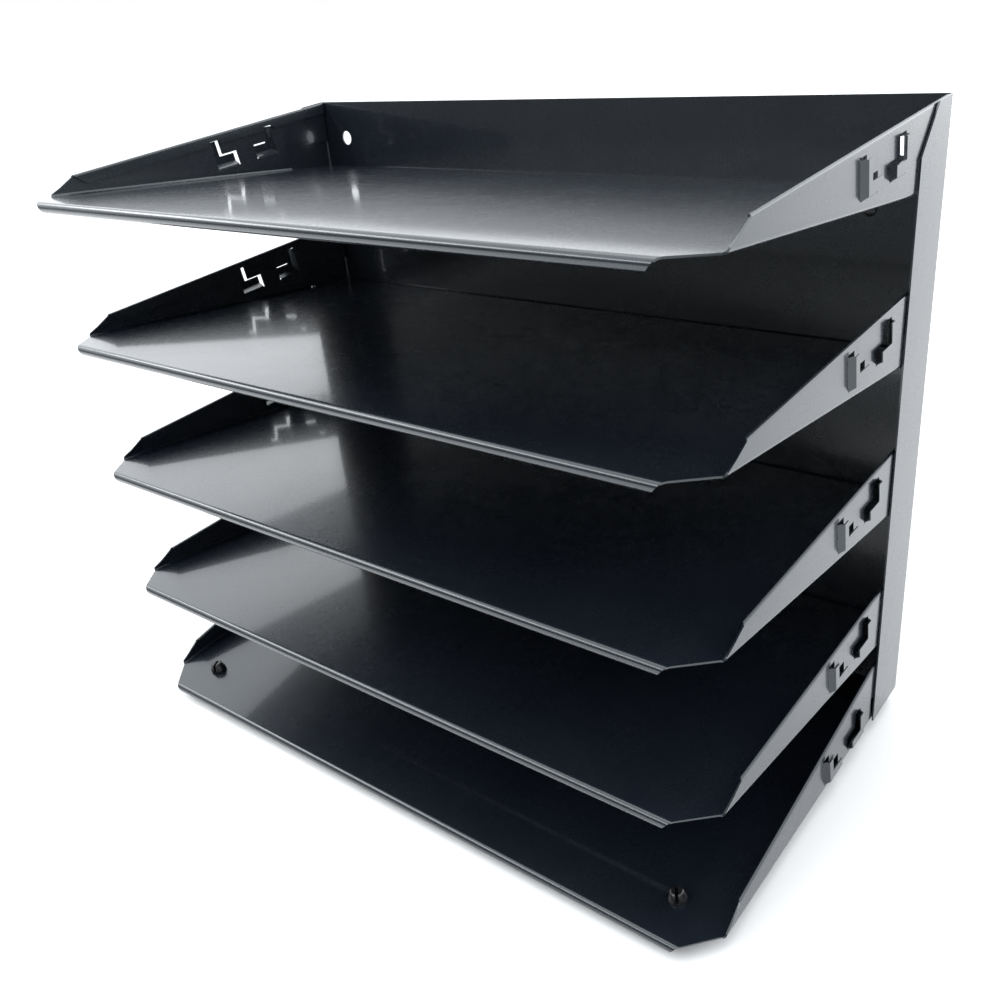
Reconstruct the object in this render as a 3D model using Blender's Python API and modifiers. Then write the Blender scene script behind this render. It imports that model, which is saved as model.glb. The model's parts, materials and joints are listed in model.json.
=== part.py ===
"""Desktop file sorter: five folded sheet-steel trays riveted to a leaning back panel.

X runs along the width, the trays open towards -Y and +Z is up.  The origin is the
middle of the footprint, on the surface that the rubber feet stand on.  The base tray
is level.  The back panel leans back, and the four upper trays are square to it, so
they slope down towards the back and papers stay in.
"""
import math

import bmesh
import bpy
from mathutils import Vector

MM = 0.001
OBJECT_NAME = "desktop_file_sorter"

# Overall sizes
WIDTH = 381 * MM                # over the two side flanges of the back panel
PANEL_HEIGHT = 275 * MM         # along the panel, from the base tray to its top edge
LEAN = math.radians(9.1)        # of the back panel from upright
SHEET = 0.8 * MM                # steel thickness
BEND = 2.0 * MM                 # outer radius of every bend
CLEAR = 0.3 * MM                # gap left between pieces that touch
FOOT_HEIGHT = 8.0 * MM          # from the desk to the underside of the base tray

# Back panel
FLANGE = 28.5 * MM              # depth of the side flanges
CORNER_DROP = 21.5 * MM         # the flange corner is cut away above this
CORNER_TOP = 14.0 * MM          # where the corner cut meets the sloping top
WALL_HOLE = 7.5 * MM            # wall-mounting holes
WALL_HOLE_IN = 19.0 * MM        # from the side of the panel
WALL_HOLE_DOWN = 19.4 * MM      # from the top edge

# Trays: S runs forwards from the back panel, H upwards from the tray's underside
TOP_TRAY_DOWN = 35.5 * MM       # underside of the top tray below the panel's top edge
TRAY_PITCH = 67.4 * MM
TRAY_COUNT = 4                  # sloping trays, above the base tray
WALL_OUT = WIDTH / 2 - SHEET - CLEAR
WALL_REAR = 29.2 * MM           # the walls stop here below the tongue
WALL_FRONT = 169.5 * MM         # where a wall meets the floor's front corner
WALL_TOP_FRONT = 157 * MM       # front end of a wall's top edge
WALL_TOP = 35.3 * MM            # wall height at the back panel
WALL_SLOPE = 0.1634             # fall of the wall's top edge per length
TONGUE_LOW = 14 * MM            # the tongue behind the flange starts at this height
HEM = 5.5 * MM                  # width of the folded hem along the wall's top
FLOOR_FRONT = 181.5 * MM        # the floor's front edge, where the roll starts
CORNER_CUT = 14 * MM            # the floor's front corners are cut across at 45 degrees
ROLL_INNER = 1.75 * MM          # inner radius of the rolled front edge
ROLL_TURN = math.radians(250)
ROLL_STEPS = 16                 # segments round the roll
SKIRT = 14.5 * MM               # height of the rear strip that is riveted to the panel
FLOOR_EDGE_IN = 0.5 * MM        # the floor's free rear edges stop short of the flanges
RELIEF = 1.0 * MM               # slot between a wall's rear end and the floor's free edge
REAR_ROUND = 2.6 * MM           # how far a wall's lower rear corner is rounded off
FRONT_RAKE = 0.6                # run of a wall's front edge per height, over the floor bend
FRONT_BREAK = 0.45              # share of the front edge's rise below its middle point
HEM_STEPS = 4                   # segments in the hem's fold
HEM_END_BACK = 1.2 * MM         # the hem's front end falls back by this much as it folds

# Linking hooks pressed out of the side walls
HOOK_LENGTH = 14.5 * MM
HOOK_TOP = 14.5 * MM
HOOK_ARM = 6.2 * MM             # height of the hook's level arm
HOOK_POST = 5.2 * MM            # width of its upright post
HOOK_OUT = 2.5 * MM             # how far its face stands out of the wall
HOOK_SHEET = 0.6 * MM
HOOK_RISE = 1.6 * MM            # run of its sloping sides
HOOK_SLOT = 1.2 * MM            # cut open above the arm
HOOK_SIDE = 0.5 * MM            # cut open beside the post and ahead of the arm
HOOK_TOP_GAP = 0.4 * MM         # cut open above the post
HOOK_BITE = 0.7 * MM            # width of the hook's root that runs into the wall
HOOK_SINK = 0.1 * MM            # the root lies this far inside the wall's face
HOOK_CUT = 3 * MM               # reach of the window cutter each side of the wall
HOOK_REST = (38 * MM, 10.5 * MM)  # S and H of one point on the hooks' level base line
BASE_HOOK_LOW = 3.6 * MM        # the same line on the level base tray
# S of each post's outer side, and the way its arm points: 1 forwards, -1 backwards
LEFT_HOOKS = ((36 * MM, 1), (77 * MM, -1))
RIGHT_HOOKS = ((81 * MM, -1), (41 * MM, 1))

# Rivets
RIVET_IN = 31 * MM              # from the side of the panel
RIVET_DOWN = 8.9 * MM           # below the tray's underside
RIVET_HOLE = 4.2 * MM
RIVET_SHANK = 3.6 * MM
RIVET_HEAD = 6.2 * MM
RIVET_DOME = 0.9 * MM
RIVET_TAIL = 5.2 * MM
RIVET_TAIL_HEIGHT = 1.0 * MM
RIVET_TAIL_TAPER = 0.5 * MM
DOME_STEPS = 4
RIVET_SIDES = 20

# Push-in rubber feet
FOOT_SIDE_IN = 28.5 * MM
FOOT_S = (22 * MM, 162.5 * MM)
FOOT_HOLE = 6.6 * MM
FOOT_STEM = 6.0 * MM
FOOT_BARB = 8.4 * MM
FOOT_BARB_HEIGHT = 4.6 * MM
FOOT_WIDTH = 13 * MM
FOOT_SPLIT = 1.4 * MM
FOOT_SPLIT_FLOOR = 0.8 * MM     # solid rubber left below the split
FOOT_BARB_EDGE = 1.1 * MM       # height of the barb's upright rim
FOOT_TIP_ROUND = (0.6 * MM, 0.5 * MM)   # inwards and down, at the barb's tip
FOOT_SHOULDER = 0.8 * MM        # chamfer round the top of the pad
FOOT_TAPER = 1.2 * MM           # the pad narrows by this much towards the desk
FOOT_SOLE_ROUND = 0.6 * MM
FOOT_SIDES = 24
FOOT_TURN = math.radians(30)    # of the split, from front to back

# Cutters
DRILL_DEPTH = 8 * MM
DRILL_SIDES = 20
CUT_FAR = 60 * MM               # reach of the panel cutters towards the front
CUT_OVER = 20 * MM              # reach of the cutters past the panel
TRIM = 2 * MM                   # extra panel length that the foot cut removes

# Surface colour and roughness
STEEL_LOOK = ((0.012, 0.013, 0.015, 1.0), 0.22)
RIVET_LOOK = ((0.014, 0.015, 0.017, 1.0), 0.3)
RUBBER_LOOK = ((0.02, 0.02, 0.021, 1.0), 0.6)

ARC_STEPS = 5                   # segments in a bend
SHARP_ANGLE = math.radians(30)  # edges that turn by more than this are shaded sharp


def clear_scene():
    """Remove every object that a new file starts with."""
    for item in list(bpy.data.objects):
        bpy.data.objects.remove(item, do_unlink=True)


def make_collection(name):
    group = bpy.data.collections.new(name)
    bpy.context.scene.collection.children.link(group)
    return group


def make_material(name, look):
    """A Principled surface of one colour and roughness."""
    colour, roughness = look
    material = bpy.data.materials.new(name)
    material.use_nodes = True
    shader = material.node_tree.nodes["Principled BSDF"]
    shader.inputs["Base Color"].default_value = colour
    shader.inputs["Roughness"].default_value = roughness
    material.diffuse_color = colour
    return material


def new_object(name, mesh, group):
    item = bpy.data.objects.new(name, mesh)
    group.objects.link(item)
    return item


def mesh_from_faces(name, points, faces):
    """A mesh of shared points, with doubled points merged and unused ones dropped."""
    mesh = bpy.data.meshes.new(name)
    net = bmesh.new()
    corners = [net.verts.new(point) for point in points]
    for face in faces:
        net.faces.new([corners[index] for index in face])
    bmesh.ops.remove_doubles(net, verts=net.verts, dist=1e-6)
    loose = [corner for corner in net.verts if not corner.link_faces]
    bmesh.ops.delete(net, geom=loose, context="VERTS")
    net.to_mesh(mesh)
    net.free()
    return mesh


def add_solidify(item, thickness):
    """Thicken a surface on the side away from its normals."""
    skin = item.modifiers.new("thickness", "SOLIDIFY")
    skin.thickness = thickness
    skin.offset = -1
    skin.use_even_offset = True
    skin.use_quality_normals = True


def add_boolean(item, cutter, operation):
    cut = item.modifiers.new(cutter.name, "BOOLEAN")
    cut.operation = operation
    cut.solver = "EXACT"
    cut.object = cutter


def hide_helper(item):
    item.hide_render = True
    item.display_type = "WIRE"


def bake(item, name):
    """The item's mesh with its modifiers applied."""
    bpy.context.view_layer.update()
    graph = bpy.context.evaluated_depsgraph_get()
    mesh = bpy.data.meshes.new_from_object(item.evaluated_get(graph))
    mesh.name = name
    return mesh


def shade(mesh):
    mesh.shade_smooth()
    mesh.set_sharp_from_angle(angle=SHARP_ANGLE)


def prism(name, outline, low, high, group):
    """A closed prism along X: outline is a list of (y, z)."""
    net = bmesh.new()
    ends = [[net.verts.new((x, y, z)) for y, z in outline] for x in (low, high)]
    net.faces.new(ends[0])
    net.faces.new(ends[1])
    count = len(outline)
    for index in range(count):
        after = (index + 1) % count
        net.faces.new((ends[0][index], ends[0][after], ends[1][after], ends[1][index]))
    bmesh.ops.recalc_face_normals(net, faces=net.faces)
    mesh = bpy.data.meshes.new(name)
    net.to_mesh(mesh)
    net.free()
    return new_object(name, mesh, group)


def add_drill(net, centre, diameter, axis):
    """Add a closed cylinder to a bmesh, along Y or Z."""
    turn = Vector((0, 0, 1)).rotation_difference(Vector(axis)).to_matrix().to_4x4()
    turn.translation = Vector(centre)
    radius = diameter / 2
    bmesh.ops.create_cone(
        net, cap_ends=True, segments=DRILL_SIDES, radius1=radius, radius2=radius,
        depth=DRILL_DEPTH, matrix=turn)


def drills(name, places, diameter, axis, group):
    """One helper object that holds a drill at each place."""
    net = bmesh.new()
    for place in places:
        add_drill(net, place, diameter, axis)
    mesh = bpy.data.meshes.new(name)
    net.to_mesh(mesh)
    net.free()
    item = new_object(name, mesh, group)
    hide_helper(item)
    return item


# ---------------------------------------------------------------- folded trays

def wall_top(s):
    """Height of a side wall's top edge at S."""
    return WALL_TOP - WALL_SLOPE * s


def bend_arc(radius, start, turn, steps):
    """Points (cos, sin) * radius from a start angle through a turn."""
    return [
        (radius * math.cos(start + turn * step / steps),
         radius * math.sin(start + turn * step / steps))
        for step in range(steps + 1)]


def rear_profile(lean_flange):
    """(S, H) of the rear strip: hanging on the upper trays, standing on the base tray."""
    if lean_flange:
        middle = ((CLEAR + BEND - BEND * math.sin(LEAN)) / math.cos(LEAN), BEND)
        arc = bend_arc(BEND, math.pi + LEAN, math.pi / 2 - LEAN, ARC_STEPS)
        arc = [(middle[0] + c, middle[1] + s) for c, s in arc]
        top = (arc[0][0] - SKIRT * math.sin(LEAN), arc[0][1] + SKIRT * math.cos(LEAN))
        return [top] + arc
    inner = BEND - SHEET
    face = CLEAR + SHEET
    arc = bend_arc(inner, math.pi, -math.pi / 2, ARC_STEPS)
    return [(face, -SKIRT)] + [(face + inner + c, -inner + s) for c, s in arc]


def roll_profile():
    """(S, H, how far round the roll) of the inner side of the rolled front edge."""
    mean = ROLL_INNER + SHEET / 2
    points = []
    for step in range(1, ROLL_STEPS + 1):
        angle = ROLL_TURN * step / ROLL_STEPS
        s = FLOOR_FRONT + ROLL_INNER * math.sin(angle)
        h = -ROLL_INNER + ROLL_INNER * math.cos(angle)
        points.append((s, h, mean * angle))
    return points


def wall_sections(side):
    """The wall's points, bottom to hem, at its tongue end, its rear end and its front end."""
    fold = SHEET + CLEAR / 2
    sections = []
    for place in ("tongue", "rear", "front"):
        top_s = {"tongue": 2 * CLEAR, "rear": WALL_REAR, "front": WALL_TOP_FRONT}[place]
        top_h = wall_top(top_s)
        rows = []
        for step in range(ARC_STEPS + 1):
            angle = math.pi / 2 * step / ARC_STEPS
            x = WALL_OUT - BEND + BEND * math.sin(angle)
            h = BEND - BEND * math.cos(angle)
            round_off = REAR_ROUND * (1 - math.sin(angle))
            s = WALL_REAR + round_off if place == "rear" else WALL_FRONT - FRONT_RAKE * h
            rows.append((x, s, h))
        middle_s = WALL_FRONT + (top_s - WALL_FRONT) * FRONT_BREAK
        if place == "front":
            rows.append((WALL_OUT, middle_s, top_h * FRONT_BREAK))
        else:
            rows.append((WALL_OUT, top_s, TONGUE_LOW))
        rows.append((WALL_OUT, top_s, top_h - fold))
        back = HEM_END_BACK if place == "front" else 0
        for step in range(1, HEM_STEPS + 1):
            angle = math.pi * step / HEM_STEPS
            x = WALL_OUT - fold + fold * math.cos(angle)
            h = top_h - fold + fold * math.sin(angle)
            rows.append((x, top_s - back * step / HEM_STEPS, h))
        hem_s = top_s - back - (HEM if place == "front" else 0)
        rows.append((WALL_OUT - 2 * fold, hem_s, wall_top(hem_s) - HEM))
        sections.append([(side * x, -s, h) for x, s, h in rows])
    return sections


def tray_surface(name, lean_flange):
    """The tray's underside and outer side as one open folded surface."""
    points = []
    faces = []

    def place(point):
        points.append(point)
        return len(points) - 1

    rear_x = WALL_OUT - FLOOR_EDGE_IN
    front_x = WALL_OUT - CORNER_CUT
    strip = [(rear_x, s, h) for s, h in rear_profile(lean_flange)]
    rows = [(place((-x, -s, h)), place((x, -s, h))) for x, s, h in strip]
    walls = {}
    for side in (-1, 1):
        walls[side] = [[place(spot) for spot in part] for part in wall_sections(side)]
    front = (place((-front_x, -FLOOR_FRONT, 0)), place((front_x, -FLOOR_FRONT, 0)))
    roll = [(place((-front_x + a, -s, h)), place((front_x - a, -s, h)))
            for s, h, a in roll_profile()]
    for first, second in zip(rows, rows[1:]):
        faces.append((first[0], first[1], second[1], second[0]))
    notch = {}
    for side in (-1, 1):
        slot_x = side * (WALL_OUT - BEND - RELIEF / 2)
        slot_y = points[walls[side][1][0]][1]
        start_y = -(WALL_REAR - RELIEF)
        spots = ((side * rear_x, start_y, 0), (slot_x, start_y, 0), (slot_x, slot_y, 0))
        notch[side] = [place(spot) for spot in spots]
    faces.append((
        rows[-1][0], rows[-1][1], *notch[1], walls[1][1][0], walls[1][2][0], front[1],
        front[0], walls[-1][2][0], walls[-1][1][0], *reversed(notch[-1])))
    for first, second in zip([front] + roll, roll):
        faces.append((first[0], first[1], second[1], second[0]))
    for side in (-1, 1):
        tongue, rear, ahead = walls[side]
        for row in range(len(rear) - 1):
            low, high = (row, row + 1) if side == 1 else (row + 1, row)
            faces.append((rear[low], rear[high], ahead[high], ahead[low]))
            if row > ARC_STEPS:
                faces.append((tongue[low], tongue[high], rear[high], rear[low]))
    return mesh_from_faces(name, points, faces)


def hook_frame(side, post_s, way, lean):
    """Origin and directions (along, up, out) of a hook on a side wall."""
    level = Vector((0, -math.cos(lean), -math.sin(lean)))
    up = Vector((0, -math.sin(lean), math.cos(lean)))
    rest_s, rest_h = HOOK_REST
    low = rest_h - math.tan(lean) * (post_s - rest_s) if lean else BASE_HOOK_LOW
    origin = Vector((side * WALL_OUT, -post_s, low))
    return origin, level * way, up, Vector((side, 0, 0))


def all_hooks():
    for side, hooks in ((-1, LEFT_HOOKS), (1, RIGHT_HOOKS)):
        for post_s, way in hooks:
            yield side, post_s, way


def hook_windows(name, lean, group):
    """The openings that the hooks leave in the walls."""
    end = HOOK_LENGTH + HOOK_SIDE
    arm = HOOK_ARM + HOOK_SLOT
    post = HOOK_POST + HOOK_SIDE
    top = HOOK_TOP + HOOK_TOP_GAP
    outline = ((0, 0), (end, 0), (end, arm), (post, arm), (post, top), (0, top))
    net = bmesh.new()
    for side, post_s, way in all_hooks():
        origin, along, up, out = hook_frame(side, post_s, way, lean)
        ends = []
        for depth in (-HOOK_CUT, HOOK_CUT):
            start = origin + out * depth
            ends.append([net.verts.new(start + along * c + up * v) for c, v in outline])
        net.faces.new(ends[0])
        net.faces.new(ends[1])
        for index in range(len(outline)):
            after = (index + 1) % len(outline)
            net.faces.new((ends[0][index], ends[0][after], ends[1][after], ends[1][index]))
    bmesh.ops.recalc_face_normals(net, faces=net.faces)
    mesh = bpy.data.meshes.new(name)
    net.to_mesh(mesh)
    net.free()
    item = new_object(name, mesh, group)
    hide_helper(item)
    return item


def hook_plates(name, lean, group):
    """The pressed-out hooks: sloping bottom and post side, and a face clear of the wall."""
    points = []
    faces = []
    end = HOOK_LENGTH - CLEAR
    top = HOOK_TOP - CLEAR
    steps = ((-HOOK_BITE, -HOOK_SINK), (CLEAR, -HOOK_SINK), (HOOK_RISE + CLEAR, HOOK_OUT))
    shapes = ((0, 1, 4, 3), (1, 2, 5, 4), (3, 4, 7, 6), (4, 5, 8, 7), (6, 7, 10, 11),
              (7, 8, 9, 10))
    for side, post_s, way in all_hooks():
        origin, along, up, out = hook_frame(side, post_s, way, lean)
        first = len(points)
        for inset, depth in steps:
            for c, v in ((end, inset), (inset, inset), (inset, top)):
                points.append(origin + along * c + up * v + out * depth)
        for c, v in ((HOOK_POST, top), (HOOK_POST, HOOK_ARM), (end, HOOK_ARM)):
            points.append(origin + along * c + up * v + out * HOOK_OUT)
        flip = side * way > 0
        for shape in shapes:
            order = tuple(first + index for index in shape)
            faces.append(order if flip else order[::-1])
    item = new_object(name, mesh_from_faces(name, points, faces), group)
    add_solidify(item, HOOK_SHEET)
    hide_helper(item)
    return item


def tray_mesh(name, lean, group):
    """A finished tray; lean is zero for the level base tray."""
    standing = lean == 0
    tray = new_object(name + "_form", tray_surface(name, standing), group)
    hide_helper(tray)
    add_solidify(tray, SHEET)
    add_boolean(tray, hook_windows(name + "_windows", lean, group), "DIFFERENCE")
    add_boolean(tray, hook_plates(name + "_hooks", lean, group), "UNION")
    reach = WIDTH / 2 - RIVET_IN
    if standing:
        rise = Vector((0, math.sin(LEAN), math.cos(LEAN))) * RIVET_DOWN
        holes = [(x, rise.y, rise.z) for x in (-reach, reach)]
        axis = (0, math.cos(LEAN), -math.sin(LEAN))
        feet = [(x * (WIDTH / 2 - FOOT_SIDE_IN), -s, 0) for x in (-1, 1) for s in FOOT_S]
        add_boolean(tray, drills(name + "_feet", feet, FOOT_HOLE, (0, 0, 1), group), "DIFFERENCE")
    else:
        holes = [(x, 0, -RIVET_DOWN) for x in (-reach, reach)]
        axis = (0, 1, 0)
    add_boolean(tray, drills(name + "_holes", holes, RIVET_HOLE, axis, group), "DIFFERENCE")
    mesh = bake(tray, name)
    shade(mesh)
    return mesh


# ---------------------------------------------------------------- back panel

def tray_levels():
    """Height of each sloping tray's underside along the panel, top tray first."""
    return [PANEL_HEIGHT - TOP_TRAY_DOWN - TRAY_PITCH * index for index in range(TRAY_COUNT)]


def rivet_levels():
    """Height along the panel of each tray's rivets, top tray first, base tray last."""
    return [level - RIVET_DOWN for level in tray_levels()] + [RIVET_DOWN]


def panel_surface():
    """The outer side of the back panel and its two side flanges, as one folded strip."""
    half = WIDTH / 2
    outline = [(half, -FLANGE)]
    for step in range(ARC_STEPS + 1):
        angle = math.pi / 2 * step / ARC_STEPS
        outline.append((half - BEND + BEND * math.cos(angle),
                        SHEET - BEND + BEND * math.sin(angle)))
    outline += [(-x, y) for x, y in reversed(outline)]
    low = -FLANGE * math.tan(LEAN) - TRIM
    points = [(x, y, z) for z in (low, PANEL_HEIGHT) for x, y in outline]
    count = len(outline)
    faces = [(i, i + 1, count + i + 1, count + i) for i in range(count - 1)]
    return mesh_from_faces("back_panel", points, faces)


def panel_trim(group):
    """Cutters for the sloping top of the flanges, their front corners and the level foot."""
    top = PANEL_HEIGHT
    far = CUT_FAR
    over = CUT_OVER
    back = SHEET / 2
    slope = [(back, top + back * WALL_SLOPE), (-CORNER_TOP, top - CORNER_TOP * WALL_SLOPE),
             (-FLANGE, top - CORNER_DROP), (-far, top - CORNER_DROP), (-far, top + over),
             (back, top + over)]
    drop = math.tan(LEAN)
    foot = [(over, over * drop), (-far, -far * drop), (-far, -far), (over, -far)]
    width = WIDTH / 2 + over
    items = [prism("panel_top_cut", slope, -width, width, group),
             prism("panel_foot_cut", foot, -width, width, group)]
    for item in items:
        hide_helper(item)
    return items


def panel_drills(group):
    """The wall-mounting holes and the rivet holes."""
    out = WIDTH / 2 - WALL_HOLE_IN
    places = [(side * out, 0, PANEL_HEIGHT - WALL_HOLE_DOWN) for side in (-1, 1)]
    wall = drills("panel_wall_holes", places, WALL_HOLE, (0, 1, 0), group)
    reach = WIDTH / 2 - RIVET_IN
    places = [(side * reach, 0, level) for level in rivet_levels() for side in (-1, 1)]
    rivets = drills("panel_rivet_holes", places, RIVET_HOLE, (0, 1, 0), group)
    return [wall, rivets]


def make_panel(steel, rack, group, helpers):
    """The back panel, trimmed and drilled; its cutters ride on the same frame."""
    panel = new_object("back_panel", panel_surface(), group)
    panel.data.materials.append(steel)
    panel.parent = rack
    add_solidify(panel, SHEET)
    for cutter in panel_trim(helpers) + panel_drills(helpers):
        cutter.parent = rack
        add_boolean(panel, cutter, "DIFFERENCE")
    shade(panel.data)
    return panel


# ---------------------------------------------------------------- rivets and feet

def turned_mesh(name, profile, steps, group):
    """A closed turned solid from a profile of (radius, height), top to bottom."""
    points = [(radius, 0, height) for radius, height in profile]
    edges = [(i, i + 1) for i in range(len(points) - 1)]
    mesh = bpy.data.meshes.new(name + "_profile")
    mesh.from_pydata(points, edges, [])
    form = new_object(name + "_form", mesh, group)
    hide_helper(form)
    screw = form.modifiers.new("turn", "SCREW")
    screw.steps = steps
    screw.render_steps = steps
    screw.use_merge_vertices = True
    screw.merge_threshold = 1e-5
    solid = bake(form, name)
    shade(solid)
    return solid


def dome(radius, height, foot, steps):
    """Profile points over a dome, from its tip down to its rim."""
    return [(radius * math.sin(math.pi / 2 * step / steps),
             foot + height * math.cos(math.pi / 2 * step / steps)) for step in range(steps + 1)]


def rivet_mesh(group):
    """A rivet along Z: dome head at the tray's side, set tail behind the panel."""
    head = SHEET + 2 * CLEAR
    tail = -(SHEET + CLEAR)
    end = tail - RIVET_TAIL_HEIGHT
    profile = dome(RIVET_HEAD / 2, RIVET_DOME, head, DOME_STEPS)
    profile += [(RIVET_SHANK / 2, head), (RIVET_SHANK / 2, tail)]
    profile += [(RIVET_TAIL / 2, tail), (RIVET_TAIL / 2 - RIVET_TAIL_TAPER, end), (0, end)]
    return turned_mesh("rivet", profile, RIVET_SIDES, group)


def foot_mesh(group):
    """A push-in foot, from the split barb above the floor to the pad on the desk."""
    under = -CLEAR
    over = SHEET + CLEAR
    tip = over + FOOT_BARB_HEIGHT
    stem = FOOT_STEM / 2
    barb = FOOT_BARB / 2
    pad = FOOT_WIDTH / 2
    sole = pad - FOOT_TAPER - FOOT_SOLE_ROUND
    round_in, round_down = FOOT_TIP_ROUND
    profile = [(0, tip), (stem - round_in, tip), (stem, tip - round_down)]
    profile += [(barb, over + FOOT_BARB_EDGE), (barb, over), (stem, over), (stem, under)]
    profile += [(pad - FOOT_SHOULDER, under), (pad, under - FOOT_SHOULDER)]
    profile += [(pad - FOOT_TAPER, FOOT_SOLE_ROUND - FOOT_HEIGHT)]
    profile += [(sole, -FOOT_HEIGHT), (0, -FOOT_HEIGHT)]
    whole = turned_mesh("foot", profile, FOOT_SIDES, group)
    form = new_object("foot_whole", whole, group)
    hide_helper(form)
    half = FOOT_SPLIT / 2
    reach = FOOT_BARB
    high = tip + FOOT_SPLIT
    low = over + FOOT_SPLIT_FLOOR
    slot = [(-reach, low), (reach, low), (reach, high), (-reach, high)]
    cutter = prism("foot_split", slot, -half, half, group)
    hide_helper(cutter)
    add_boolean(form, cutter, "DIFFERENCE")
    mesh = bake(form, "foot")
    shade(mesh)
    return mesh


def place_copy(name, mesh, material, parent, location, group, turn=None):
    """A named piece that shares its mesh with its like pieces."""
    if not mesh.materials:
        mesh.materials.append(material)
    item = new_object(name, mesh, group)
    item.parent = parent
    item.location = location
    if turn:
        item.rotation_euler = turn
    return item


def make_frame(name, location, lean, group):
    """An empty that carries the pieces built square to it."""
    item = new_object(name, None, group)
    item.location = location
    item.rotation_euler = (-lean, 0, 0)
    return item


def main():
    clear_scene()
    parts = make_collection(OBJECT_NAME)
    helpers = make_collection("helpers")
    steel = make_material("black_enamel_steel", STEEL_LOOK)
    rivet = make_material("black_rivet", RIVET_LOOK)
    rubber = make_material("black_rubber", RUBBER_LOOK)

    front = FLOOR_FRONT + ROLL_INNER + SHEET
    back = PANEL_HEIGHT * math.sin(LEAN) + SHEET * math.cos(LEAN)
    corner = (0, (front - back) / 2, FOOT_HEIGHT)
    rack = make_frame("rack_frame", corner, LEAN, parts)
    base = make_frame("base_frame", corner, 0, parts)

    make_panel(steel, rack, parts, helpers)
    tray = tray_mesh("sloping_tray", LEAN, helpers)
    for index, level in enumerate(tray_levels()):
        place_copy(f"tray_{index + 1}", tray, steel, rack, (0, 0, level), parts)
    place_copy("base_tray", tray_mesh("level_tray", 0, helpers), steel, base, (0, 0, 0), parts)

    pin = rivet_mesh(helpers)
    owners = [f"tray_{index + 1}" for index in range(TRAY_COUNT)] + ["base_tray"]
    reach = WIDTH / 2 - RIVET_IN
    for owner, level in zip(owners, rivet_levels()):
        for side, word in ((-1, "left"), (1, "right")):
            spot = (side * reach, 0, level)
            name = f"{owner}_rivet_{word}"
            place_copy(name, pin, rivet, rack, spot, parts, (math.pi / 2, 0, 0))

    pad = foot_mesh(helpers)
    for s, end in zip(FOOT_S, ("rear", "front")):
        for side, word in ((-1, "left"), (1, "right")):
            spot = (side * (WIDTH / 2 - FOOT_SIDE_IN), -s, 0)
            turn = (0, 0, FOOT_TURN)
            place_copy(f"foot_{end}_{word}", pad, rubber, base, spot, parts, turn)


main()
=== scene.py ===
"""Looks of a desktop file sorter: glossy black enamel over folded steel, on a pale floor."""
import json
import math

import bpy
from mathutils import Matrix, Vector

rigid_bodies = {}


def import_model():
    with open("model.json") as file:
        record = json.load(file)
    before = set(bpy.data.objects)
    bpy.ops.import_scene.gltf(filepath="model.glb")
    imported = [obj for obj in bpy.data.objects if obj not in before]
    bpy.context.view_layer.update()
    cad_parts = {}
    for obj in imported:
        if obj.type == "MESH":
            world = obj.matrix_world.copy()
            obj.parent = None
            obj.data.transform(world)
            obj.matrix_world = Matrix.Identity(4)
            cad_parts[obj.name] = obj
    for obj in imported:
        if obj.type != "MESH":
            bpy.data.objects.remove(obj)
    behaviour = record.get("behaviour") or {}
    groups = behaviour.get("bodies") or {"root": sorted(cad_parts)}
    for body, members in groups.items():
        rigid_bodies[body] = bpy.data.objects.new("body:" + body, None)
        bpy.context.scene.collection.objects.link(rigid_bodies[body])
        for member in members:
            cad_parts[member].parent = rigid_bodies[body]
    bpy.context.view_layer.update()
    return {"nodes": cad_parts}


bl_info = {
    "name": "Desktop File Sorter Looks",
    "version": (1, 0, 0),
    "blender": (4, 5, 0),
    "location": "3D View > Sidebar > File Sorter",
    "description": "Finishes the steel, rivets and feet of a desktop file sorter",
    "category": "Object",
}

for spare in list(bpy.data.objects):
    bpy.data.objects.remove(spare, do_unlink=True)
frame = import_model()

TRAYS = ("tray_1", "tray_2", "tray_3", "tray_4", "base_tray")

# Each noise is its ripples a metre, detail and roughness; each swing is added to a roughness
HAZE_NOISE = (14.0, 4.0, 0.6)
HAZE_RANGE = (0.30, 0.78)
WEAR_STOPS = ((0.52, (0, 0, 0)), (0.62, (0.35, 0.35, 0.35)))
SCUFF_NOISE = (260.0, 3.0, 0.6)
SCUFF_COLOUR = (0.045, 0.046, 0.050, 1.0)
CLOUD_NOISE = (42.0, 5.0, 0.65)
CLOUD_SWING = (-0.03, 0.045)
SPECK_NOISE = (1500.0, 1.0, 0.5)
SPECK_SWING = (-0.02, 0.02)
WAVE_NOISE = (9.0, 1.0, 0.4)
WAVE_DEPTH = 0.0004
WAVE_STRENGTH = 0.5
PEEL_DETAIL = (2.0, 0.55)
FINE_PEEL_DETAIL = (1.0, 0.5)
FINE_PEEL_RATE = 3.2            # ripples to one of the orange peel's
FINE_PEEL_DEPTH = 0.35          # of the orange peel's depth
ENAMEL_IOR = 1.54
ENAMEL_TINT = (0.86, 0.96, 1.0, 1.0)
ENAMEL_COAT = 0.6
ENAMEL_COAT_ROUGHNESS = 0.07

RIVET_SCUFF_NOISE = (900.0, 4.0, 0.6)
RIVET_SCUFF_RANGE = (0.55, 0.86)
RIVET_PATCH_NOISE = (400.0, 3.0, 0.6)
RIVET_PATCH_SWING = (-0.08, 0.12)
RIVET_GRAIN_NOISE = (1300.0, 2.0, 0.5)
RIVET_GRAIN_STRENGTH = 0.8
RIVET_IOR = 1.5
RIVET_COAT = 0.2
RIVET_COAT_ROUGHNESS = 0.15

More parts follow.
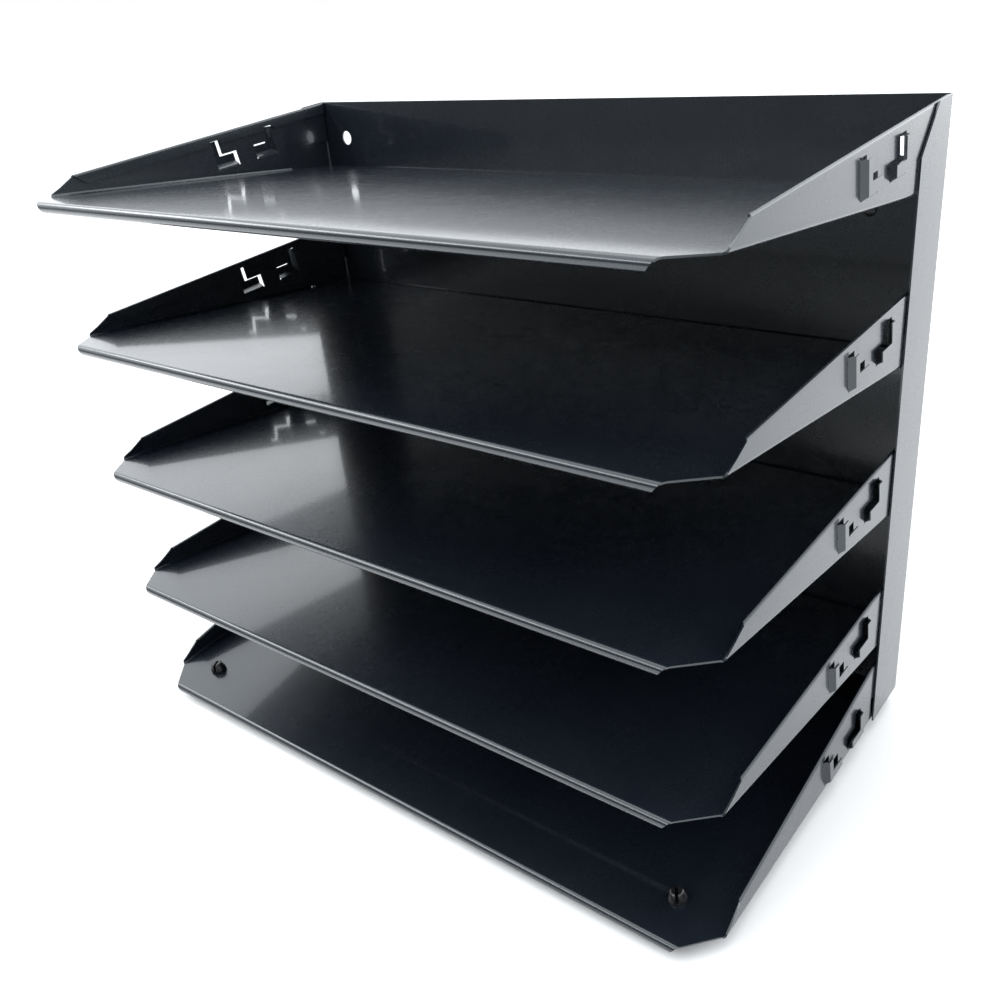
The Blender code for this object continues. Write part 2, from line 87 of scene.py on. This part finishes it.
RUBBER_BLOOM_NOISE = (300.0, 4.0, 0.65)
RUBBER_BLOOM_RANGE = (0.42, 0.85)
RUBBER_BLOOM_SWING = (-0.10, 0.16)
RUBBER_GRAIN_NOISE = (2600.0, 2.0, 0.5)
RUBBER_GRAIN_STRENGTH = 0.7
RUBBER_IOR = 1.52
GRAIN_DEPTH = 0.00002           # metres, on rivets and rubber

FLOOR_MOTTLE_NOISE = (6.0, 3.0, 0.5)
FLOOR_MOTTLE_RANGE = (0.3, 0.7)
FLOOR_MOTTLE_SHADE = 0.985
FLOOR_ROUGHNESS = 0.9
FLOOR_SPECULAR = 0.2
FLOOR_REACH = 6.0               # metres from the middle to each side

JOIN_DISTANCE = 0.00001         # metres between points that are one point
FOLD_ANGLE = math.radians(28)   # steeper folds are shaded sharp
FLAT_ANGLE = math.radians(0.5)  # faces within this are one flat face
CUT_EDGE_ANGLE = math.radians(40)
EDGE_SEGMENTS = 2
FACE_WEIGHT = 100

SKY_RISE = 0.8                  # how fast the surroundings brighten with height
LIGHT_TARGET = (0.0, 0.0, 0.14)
SENSOR_WIDTH = 36.0
CLIP_START = 0.01

# name, place, size (both in metres), power in watts
LIGHTS = (
    ("side_light", (0.95, 1.65, 0.35), (1.5, 1.5), 15.0),
    ("top_light", (-0.2, 0.3, 1.9), (1.6, 1.6), 12.0),
    ("lip_light", (-0.8, -0.7, 0.95), (1.8, 0.22), 8.0),
)

# The surroundings from the front (0) to the back (1): dim behind the viewer, white beyond
SURROUND_STOPS = (
    (0.00, (0.07, 0.073, 0.078)),
    (0.28, (0.13, 0.135, 0.14)),
    (0.52, (0.80, 0.83, 0.86)),
    (0.64, (0.94, 0.97, 1.0)),
)

CAMERA_PLACE = (0.33354, -0.29428, 0.35778)
CAMERA_TURN = (56.600, 7.008, 34.544)
CAMERA_SHIFT = (-0.140, 0.0462)


# ---------------------------------------------------------------- settings

class FILESORTER_PG_enamel(bpy.types.PropertyGroup):
    """Black stove enamel on the panel and the trays."""
    colour: bpy.props.FloatVectorProperty(
        name="Colour", description="Colour of the enamel", subtype="COLOR",
        size=3, min=0.0, max=1.0, default=(0.0042, 0.0064, 0.0108))
    bloom: bpy.props.FloatVectorProperty(
        name="Bloom", description="Colour where the enamel is thinner or slightly hazed",
        subtype="COLOR", size=3, min=0.0, max=1.0, default=(0.0082, 0.0112, 0.0165))
    roughness: bpy.props.FloatProperty(
        name="Roughness", description="Mean roughness of the haze under the gloss",
        min=0.02, max=1.0, default=0.26, subtype="FACTOR")
    peel_size: bpy.props.FloatProperty(
        name="Peel size", description="Width of one ripple of the orange peel",
        min=0.0002, max=0.01, default=0.0011, unit="LENGTH")
    peel_depth: bpy.props.FloatProperty(
        name="Peel depth", description="Height of the orange peel",
        min=0.0, max=0.001, default=0.000007, precision=6, unit="LENGTH")
    edge_round: bpy.props.FloatProperty(
        name="Edge round", description="Radius of the enamel over a cut edge",
        min=0.0, max=0.0005, default=0.00022, precision=5, unit="LENGTH")


class FILESORTER_PG_rivet(bpy.types.PropertyGroup):
    """Black coated blind rivets."""
    colour: bpy.props.FloatVectorProperty(
        name="Colour", description="Colour of the rivet coating", subtype="COLOR",
        size=3, min=0.0, max=1.0, default=(0.011, 0.0115, 0.0125))
    bare: bpy.props.FloatVectorProperty(
        name="Bare metal", description="Colour where the coating is rubbed thin",
        subtype="COLOR", size=3, min=0.0, max=1.0, default=(0.20, 0.20, 0.21))
    roughness: bpy.props.FloatProperty(
        name="Roughness", description="Roughness of the coating",
        min=0.02, max=1.0, default=0.30, subtype="FACTOR")


class FILESORTER_PG_rubber(bpy.types.PropertyGroup):
    """Push-in rubber feet."""
    colour: bpy.props.FloatVectorProperty(
        name="Colour", description="Colour of the rubber", subtype="COLOR",
        size=3, min=0.0, max=1.0, default=(0.006, 0.0062, 0.0068))
    dust: bpy.props.FloatVectorProperty(
        name="Dust", description="Colour of the pale bloom on the rubber",
        subtype="COLOR", size=3, min=0.0, max=1.0, default=(0.020, 0.020, 0.021))
    roughness: bpy.props.FloatProperty(
        name="Roughness", description="Roughness of the rubber",
        min=0.02, max=1.0, default=0.24, subtype="FACTOR")


class FILESORTER_PG_stage(bpy.types.PropertyGroup):
    """Floor, light and camera."""
    floor_colour: bpy.props.FloatVectorProperty(
        name="Floor", description="Colour of the floor", subtype="COLOR",
        size=3, min=0.0, max=1.0, default=(0.92, 0.92, 0.92))
    surround: bpy.props.FloatProperty(
        name="Surround", description="Brightness of the white surroundings",
        min=0.0, max=5.0, default=1.85)
    lens: bpy.props.FloatProperty(
        name="Lens", description="Focal length of the camera in millimetres",
        min=10.0, max=200.0, default=35.507)


SETTINGS = {
    "file_sorter_enamel": FILESORTER_PG_enamel,
    "file_sorter_rivet": FILESORTER_PG_rivet,
    "file_sorter_rubber": FILESORTER_PG_rubber,
    "file_sorter_stage": FILESORTER_PG_stage,
}


# ---------------------------------------------------------------- materials

class NodeBench:
    """Places and links the nodes of one node tree, column by column."""

    def __init__(self, tree):
        self.tree = tree
        self.count = 0

    def add(self, kind, links=None, **values):
        """A new node; values set its properties or its sockets, links join sockets."""
        node = self.tree.nodes.new(kind)
        node.location = (220 * self.count, -60 * (self.count % 4))
        self.count += 1
        for key, value in values.items():
            if hasattr(node, key):
                setattr(node, key, value)
            else:
                node.inputs[key.replace("_", " ")].default_value = value
        for key, source in (links or {}).items():
            self.tree.links.new(source, node.inputs[key])
        return node

    def ramp(self, source, stops):
        """A colour ramp through (position, colour) stops."""
        node = self.add("ShaderNodeValToRGB", {"Fac": source})
        points = node.color_ramp.elements
        for index, (position, colour) in enumerate(stops):
            point = points[index] if index < len(points) else points.new(position)
            point.position = position
            point.color = (*colour, 1.0)
        return node.outputs["Color"]

    def spread_from(self, source, low, high):
        """A range of the source spread over 0 to 1."""
        node = self.add("ShaderNodeMapRange", {"Value": source})
        node.inputs["From Min"].default_value = low
        node.inputs["From Max"].default_value = high
        return node.outputs["Result"]

    def spread(self, source, low, high):
        """The source's 0 to 1 spread over a new range."""
        node = self.add("ShaderNodeMapRange", {"Value": source})
        node.inputs["To Min"].default_value = low
        node.inputs["To Max"].default_value = high
        return node.outputs["Result"]


def new_material(name, viewport_colour):
    """An empty node material: its bench and its Principled shader."""
    material = bpy.data.materials.new(name)
    material.use_nodes = True
    material.diffuse_color = (*viewport_colour, 1.0)
    tree = material.node_tree
    tree.nodes.clear()
    bench = NodeBench(tree)
    shader = bench.add("ShaderNodeBsdfPrincipled")
    output = bench.add("ShaderNodeOutputMaterial", {"Surface": shader.outputs["BSDF"]})
    output.location = (2600, 0)
    shader.location = (2300, 0)
    return material, bench, shader


def noise(bench, place, scale, detail=2.0, roughness=0.5):
    """The value of a fractal noise at a place, scale in ripples a metre."""
    node = bench.add("ShaderNodeTexNoise", {"Vector": place})
    node.inputs["Scale"].default_value = scale
    node.inputs["Detail"].default_value = detail
    node.inputs["Roughness"].default_value = roughness
    return node.outputs["Fac"]


def bump(bench, height, depth, strength, before=None):
    """A bump of that depth in metres, on top of an earlier one."""
    links = {"Height": height}
    if before is not None:
        links["Normal"] = before
    node = bench.add("ShaderNodeBump", links)
    node.inputs["Strength"].default_value = strength
    node.inputs["Distance"].default_value = depth
    return node.outputs["Normal"]


def enamel_material(name, look):
    """Black stove enamel: a sharp gloss over a haze, orange peel, slow waves and specks."""
    material, bench, shader = new_material(name, look.colour)
    place = bench.add("ShaderNodeTexCoord").outputs["Object"]
    haze = noise(bench, place, *HAZE_NOISE)
    colour = bench.ramp(haze, zip(HAZE_RANGE, (look.colour, look.bloom)))
    wear = bench.add("ShaderNodeNewGeometry").outputs["Pointiness"]
    rubbed = bench.ramp(wear, WEAR_STOPS)
    scuff = noise(bench, place, *SCUFF_NOISE)
    worn = bench.add("ShaderNodeMath", {0: rubbed, 1: scuff}, operation="MULTIPLY")
    mixed = bench.add("ShaderNodeMix", {"Factor": worn.outputs[0]}, data_type="RGBA")
    bench.tree.links.new(colour, mixed.inputs[6])
    mixed.inputs[7].default_value = SCUFF_COLOUR
    bench.tree.links.new(mixed.outputs[2], shader.inputs["Base Color"])
    cloud = noise(bench, place, *CLOUD_NOISE)
    rough = bench.spread(cloud, *(look.roughness + swing for swing in CLOUD_SWING))
    specks = noise(bench, place, *SPECK_NOISE)
    grain = bench.spread(specks, *SPECK_SWING)
    total = bench.add("ShaderNodeMath", {0: rough, 1: grain}, operation="ADD")
    bench.tree.links.new(total.outputs[0], shader.inputs["Roughness"])
    wave = noise(bench, place, *WAVE_NOISE)
    peel = noise(bench, place, 1.0 / look.peel_size, *PEEL_DETAIL)
    fine = noise(bench, place, FINE_PEEL_RATE / look.peel_size, *FINE_PEEL_DETAIL)
    normal = bump(bench, wave, WAVE_DEPTH, WAVE_STRENGTH)
    normal = bump(bench, peel, look.peel_depth, 1.0, normal)
    normal = bump(bench, fine, look.peel_depth * FINE_PEEL_DEPTH, 1.0, normal)
    bench.tree.links.new(normal, shader.inputs["Normal"])
    bench.tree.links.new(normal, shader.inputs["Coat Normal"])
    shader.inputs["Coat Weight"].default_value = ENAMEL_COAT
    shader.inputs["Coat Roughness"].default_value = ENAMEL_COAT_ROUGHNESS
    shader.inputs["IOR"].default_value = ENAMEL_IOR
    shader.inputs["Specular Tint"].default_value = ENAMEL_TINT
    return material


def rivet_material(name, look):
    """Black coated rivet, rubbed thin on its crown."""
    material, bench, shader = new_material(name, look.colour)
    place = bench.add("ShaderNodeTexCoord").outputs["Object"]
    scuff = noise(bench, place, *RIVET_SCUFF_NOISE)
    colour = bench.ramp(scuff, zip(RIVET_SCUFF_RANGE, (look.colour, look.bare)))
    bench.tree.links.new(colour, shader.inputs["Base Color"])
    patch = noise(bench, place, *RIVET_PATCH_NOISE)
    rough = bench.spread(patch, *(look.roughness + swing for swing in RIVET_PATCH_SWING))
    bench.tree.links.new(rough, shader.inputs["Roughness"])
    grain = noise(bench, place, *RIVET_GRAIN_NOISE)
    normal = bump(bench, grain, GRAIN_DEPTH, RIVET_GRAIN_STRENGTH)
    bench.tree.links.new(normal, shader.inputs["Normal"])
    shader.inputs["IOR"].default_value = RIVET_IOR
    shader.inputs["Coat Weight"].default_value = RIVET_COAT
    shader.inputs["Coat Roughness"].default_value = RIVET_COAT_ROUGHNESS
    return material


def rubber_material(name, look):
    """Moulded black rubber with a faint bloom."""
    material, bench, shader = new_material(name, look.colour)
    place = bench.add("ShaderNodeTexCoord").outputs["Object"]
    bloom = noise(bench, place, *RUBBER_BLOOM_NOISE)
    colour = bench.ramp(bloom, zip(RUBBER_BLOOM_RANGE, (look.colour, look.dust)))
    bench.tree.links.new(colour, shader.inputs["Base Color"])
    rough = bench.spread(bloom, *(look.roughness + swing for swing in RUBBER_BLOOM_SWING))
    bench.tree.links.new(rough, shader.inputs["Roughness"])
    grain = noise(bench, place, *RUBBER_GRAIN_NOISE)
    normal = bump(bench, grain, GRAIN_DEPTH, RUBBER_GRAIN_STRENGTH)
    bench.tree.links.new(normal, shader.inputs["Normal"])
    shader.inputs["IOR"].default_value = RUBBER_IOR
    return material


def floor_material(name, colour):
    """Matt pale card with a very faint mottle."""
    material, bench, shader = new_material(name, colour)
    place = bench.add("ShaderNodeTexCoord").outputs["Object"]
    mottle = noise(bench, place, *FLOOR_MOTTLE_NOISE)
    darker = tuple(channel * FLOOR_MOTTLE_SHADE for channel in colour)
    tint = bench.ramp(mottle, zip(FLOOR_MOTTLE_RANGE, (darker, colour)))
    bench.tree.links.new(tint, shader.inputs["Base Color"])
    shader.inputs["Roughness"].default_value = FLOOR_ROUGHNESS
    shader.inputs["Specular IOR Level"].default_value = FLOOR_SPECULAR
    return material


# ---------------------------------------------------------------- mesh finishing

def wear_material(item, material):
    """Give every face of a piece one material."""
    for index in range(len(item.material_slots)):
        item.material_slots[index].link = "OBJECT"
        item.material_slots[index].material = material


def soften_group():
    """A modifier that joins a mesh's doubled points and shades it smooth, sharp at its folds."""
    name = "soften_shading"
    if name in bpy.data.node_groups:
        return bpy.data.node_groups[name]
    group = bpy.data.node_groups.new(name, "GeometryNodeTree")
    group.interface.new_socket("Geometry", in_out="INPUT", socket_type="NodeSocketGeometry")
    group.interface.new_socket("Geometry", in_out="OUTPUT", socket_type="NodeSocketGeometry")
    bench = NodeBench(group)
    start = bench.add("NodeGroupInput").outputs[0]
    bare = bench.add("GeometryNodeRemoveAttribute", {"Geometry": start})
    bare.inputs["Name"].default_value = "custom_normal"
    joined = bench.add("GeometryNodeMergeByDistance", {"Geometry": bare.outputs["Geometry"]})
    joined.inputs["Distance"].default_value = JOIN_DISTANCE
    smooth = bench.add("GeometryNodeSetShadeSmooth", {"Geometry": joined.outputs["Geometry"]})
    smooth.inputs["Shade Smooth"].default_value = True
    fold = bench.add("GeometryNodeInputMeshEdgeAngle").outputs["Unsigned Angle"]
    gentle = bench.add("FunctionNodeCompare", data_type="FLOAT", operation="LESS_THAN")
    group.links.new(fold, gentle.inputs[0])
    gentle.inputs[1].default_value = FOLD_ANGLE
    edges = bench.add("GeometryNodeSetShadeSmooth", {"Geometry": smooth.outputs["Geometry"]})
    edges.domain = "EDGE"
    group.links.new(gentle.outputs[0], edges.inputs["Shade Smooth"])
    end = bench.add("NodeGroupOutput")
    group.links.new(edges.outputs["Geometry"], end.inputs[0])
    return group


def round_edges(item, width):
    """Join, clean and round a sheet piece's cut edges."""
    soften = item.modifiers.new("soften", "NODES")
    soften.node_group = soften_group()
    flat = item.modifiers.new("flat_faces", "DECIMATE")
    flat.decimate_type = "DISSOLVE"
    flat.angle_limit = FLAT_ANGLE
    edge = item.modifiers.new("edge_round", "BEVEL")
    edge.width = width
    edge.segments = EDGE_SEGMENTS
    edge.limit_method = "ANGLE"
    edge.angle_limit = CUT_EDGE_ANGLE
    edge.use_clamp_overlap = True
    edge.miter_outer = "MITER_SHARP"
    edge.face_strength_mode = "FSTR_ALL"
    shade = item.modifiers.new("face_weight", "WEIGHTED_NORMAL")
    shade.keep_sharp = True
    shade.use_face_influence = True
    shade.weight = FACE_WEIGHT


def smooth_round(item):
    """Smooth shading for a turned piece."""
    soften = item.modifiers.new("soften", "NODES")
    soften.node_group = soften_group()


# ---------------------------------------------------------------- pieces

class FILESORTER_OT_panel(bpy.types.Operator):
    """Enamel the back panel and round its cut edges."""
    bl_idname = "file_sorter.panel"
    bl_label = "Back Panel"

    def execute(self, context):
        look = context.scene.file_sorter_enamel
        item = frame["nodes"]["back_panel"]
        wear_material(item, enamel_material("enamel_panel", look))
        round_edges(item, look.edge_round)
        return {"FINISHED"}


class FILESORTER_OT_trays(bpy.types.Operator):
    """Enamel the five trays and round their cut edges."""
    bl_idname = "file_sorter.trays"
    bl_label = "Trays"

    def execute(self, context):
        look = context.scene.file_sorter_enamel
        enamel = enamel_material("enamel_trays", look)
        for name in TRAYS:
            wear_material(frame["nodes"][name], enamel)
            round_edges(frame["nodes"][name], look.edge_round)
        return {"FINISHED"}


class FILESORTER_OT_rivets(bpy.types.Operator):
    """Coat the ten rivets."""
    bl_idname = "file_sorter.rivets"
    bl_label = "Rivets"

    def execute(self, context):
        coating = rivet_material("rivet_coating", context.scene.file_sorter_rivet)
        for name, item in frame["nodes"].items():
            if "_rivet_" in name:
                wear_material(item, coating)
                smooth_round(item)
        return {"FINISHED"}


class FILESORTER_OT_feet(bpy.types.Operator):
    """Finish the four push-in rubber feet."""
    bl_idname = "file_sorter.feet"
    bl_label = "Rubber Feet"

    def execute(self, context):
        rubber = rubber_material("foot_rubber_moulded", context.scene.file_sorter_rubber)
        for name, item in frame["nodes"].items():
            if name.startswith("foot_"):
                wear_material(item, rubber)
                smooth_round(item)
        return {"FINISHED"}


class FILESORTER_OT_stage(bpy.types.Operator):
    """Set the floor, the soft light and the camera."""
    bl_idname = "file_sorter.stage"
    bl_label = "Floor, Light and Camera"

    def execute(self, context):
        look = context.scene.file_sorter_stage
        self.make_floor(look)
        self.make_world(context.scene, look.surround)
        self.make_lights()
        self.make_camera(context.scene, look.lens)
        context.scene.view_settings.view_transform = "Standard"
        return {"FINISHED"}

    def make_floor(self, look):
        reach = FLOOR_REACH
        mesh = bpy.data.meshes.new("floor")
        corners = [(-reach, -reach, 0), (reach, -reach, 0), (reach, reach, 0), (-reach, reach, 0)]
        mesh.from_pydata(corners, [], [(0, 1, 2, 3)])
        floor = bpy.data.objects.new("floor", mesh)
        bpy.context.scene.collection.objects.link(floor)
        mesh.materials.append(floor_material("pale_card", tuple(look.floor_colour)))

    def make_world(self, scene, strength):
        world = bpy.data.worlds.new("white_surround")
        world.use_nodes = True
        scene.world = world
        tree = world.node_tree
        tree.nodes.clear()
        bench = NodeBench(tree)
        place = bench.add("ShaderNodeTexCoord").outputs["Generated"]
        parts = bench.add("ShaderNodeSeparateXYZ", {"Vector": place})
        lift = bench.add("ShaderNodeMath", {0: parts.outputs["Z"]}, operation="MAXIMUM")
        lift.inputs[1].default_value = 0.0
        raised = bench.add("ShaderNodeMath", {0: lift.outputs[0], 2: parts.outputs["Y"]},
                           operation="MULTIPLY_ADD")
        raised.inputs[1].default_value = SKY_RISE
        level = bench.ramp(bench.spread_from(raised.outputs[0], -1.0, 1.0), SURROUND_STOPS)
        light = bench.add("ShaderNodeBackground", {"Color": level})
        light.inputs["Strength"].default_value = strength
        plain = bench.add("ShaderNodeBackground")
        plain.inputs["Color"].default_value = (1.0, 1.0, 1.0, 1.0)
        plain.inputs["Strength"].default_value = 1.0
        seen = bench.add("ShaderNodeLightPath").outputs["Is Camera Ray"]
        mix = bench.add("ShaderNodeMixShader", {"Fac": seen})
        tree.links.new(light.outputs[0], mix.inputs[1])
        tree.links.new(plain.outputs[0], mix.inputs[2])
        bench.add("ShaderNodeOutputWorld", {"Surface": mix.outputs[0]})

    def make_lights(self):
        target = Vector(LIGHT_TARGET)
        for name, place, size, power in LIGHTS:
            lamp = bpy.data.lights.new(name, "AREA")
            lamp.shape = "RECTANGLE"
            lamp.size, lamp.size_y = size
            lamp.energy = power
            item = bpy.data.objects.new(name, lamp)
            bpy.context.scene.collection.objects.link(item)
            item.location = place
            item.rotation_euler = (target - Vector(place)).to_track_quat("-Z", "Y").to_euler()
            item.visible_camera = False

    def make_camera(self, scene, lens):
        data = bpy.data.cameras.new("camera")
        data.sensor_width = SENSOR_WIDTH
        data.lens = lens
        data.shift_x, data.shift_y = CAMERA_SHIFT
        data.clip_start = CLIP_START
        item = bpy.data.objects.new("camera", data)
        scene.collection.objects.link(item)
        item.location = CAMERA_PLACE
        item.rotation_euler = [math.radians(angle) for angle in CAMERA_TURN]
        scene.camera = item


class FILESORTER_PT_sidebar(bpy.types.Panel):
    """Lists the settings and the steps."""
    bl_idname = "FILESORTER_PT_sidebar"
    bl_label = "File Sorter"
    bl_space_type = "VIEW_3D"
    bl_region_type = "UI"
    bl_category = "File Sorter"

    def draw(self, context):
        for name, group in SETTINGS.items():
            box = self.layout.box()
            box.label(text=group.__doc__)
            for key in group.__annotations__:
                box.prop(getattr(context.scene, name), key)
        for step in STEPS:
            self.layout.operator(step.bl_idname)


STEPS = (
    FILESORTER_OT_panel,
    FILESORTER_OT_trays,
    FILESORTER_OT_rivets,
    FILESORTER_OT_feet,
    FILESORTER_OT_stage,
)
CLASSES = (*SETTINGS.values(), *STEPS, FILESORTER_PT_sidebar)


def register():
    for item in CLASSES:
        bpy.utils.register_class(item)
    for name, group in SETTINGS.items():
        setattr(bpy.types.Scene, name, bpy.props.PointerProperty(type=group))


def unregister():
    for name in SETTINGS:
        delattr(bpy.types.Scene, name)
    for item in reversed(CLASSES):
        bpy.utils.unregister_class(item)


def main():
    register()
    bpy.ops.file_sorter.panel()
    bpy.ops.file_sorter.trays()
    bpy.ops.file_sorter.rivets()
    bpy.ops.file_sorter.feet()
    bpy.ops.file_sorter.stage()


if __name__ == "__main__":
    main()
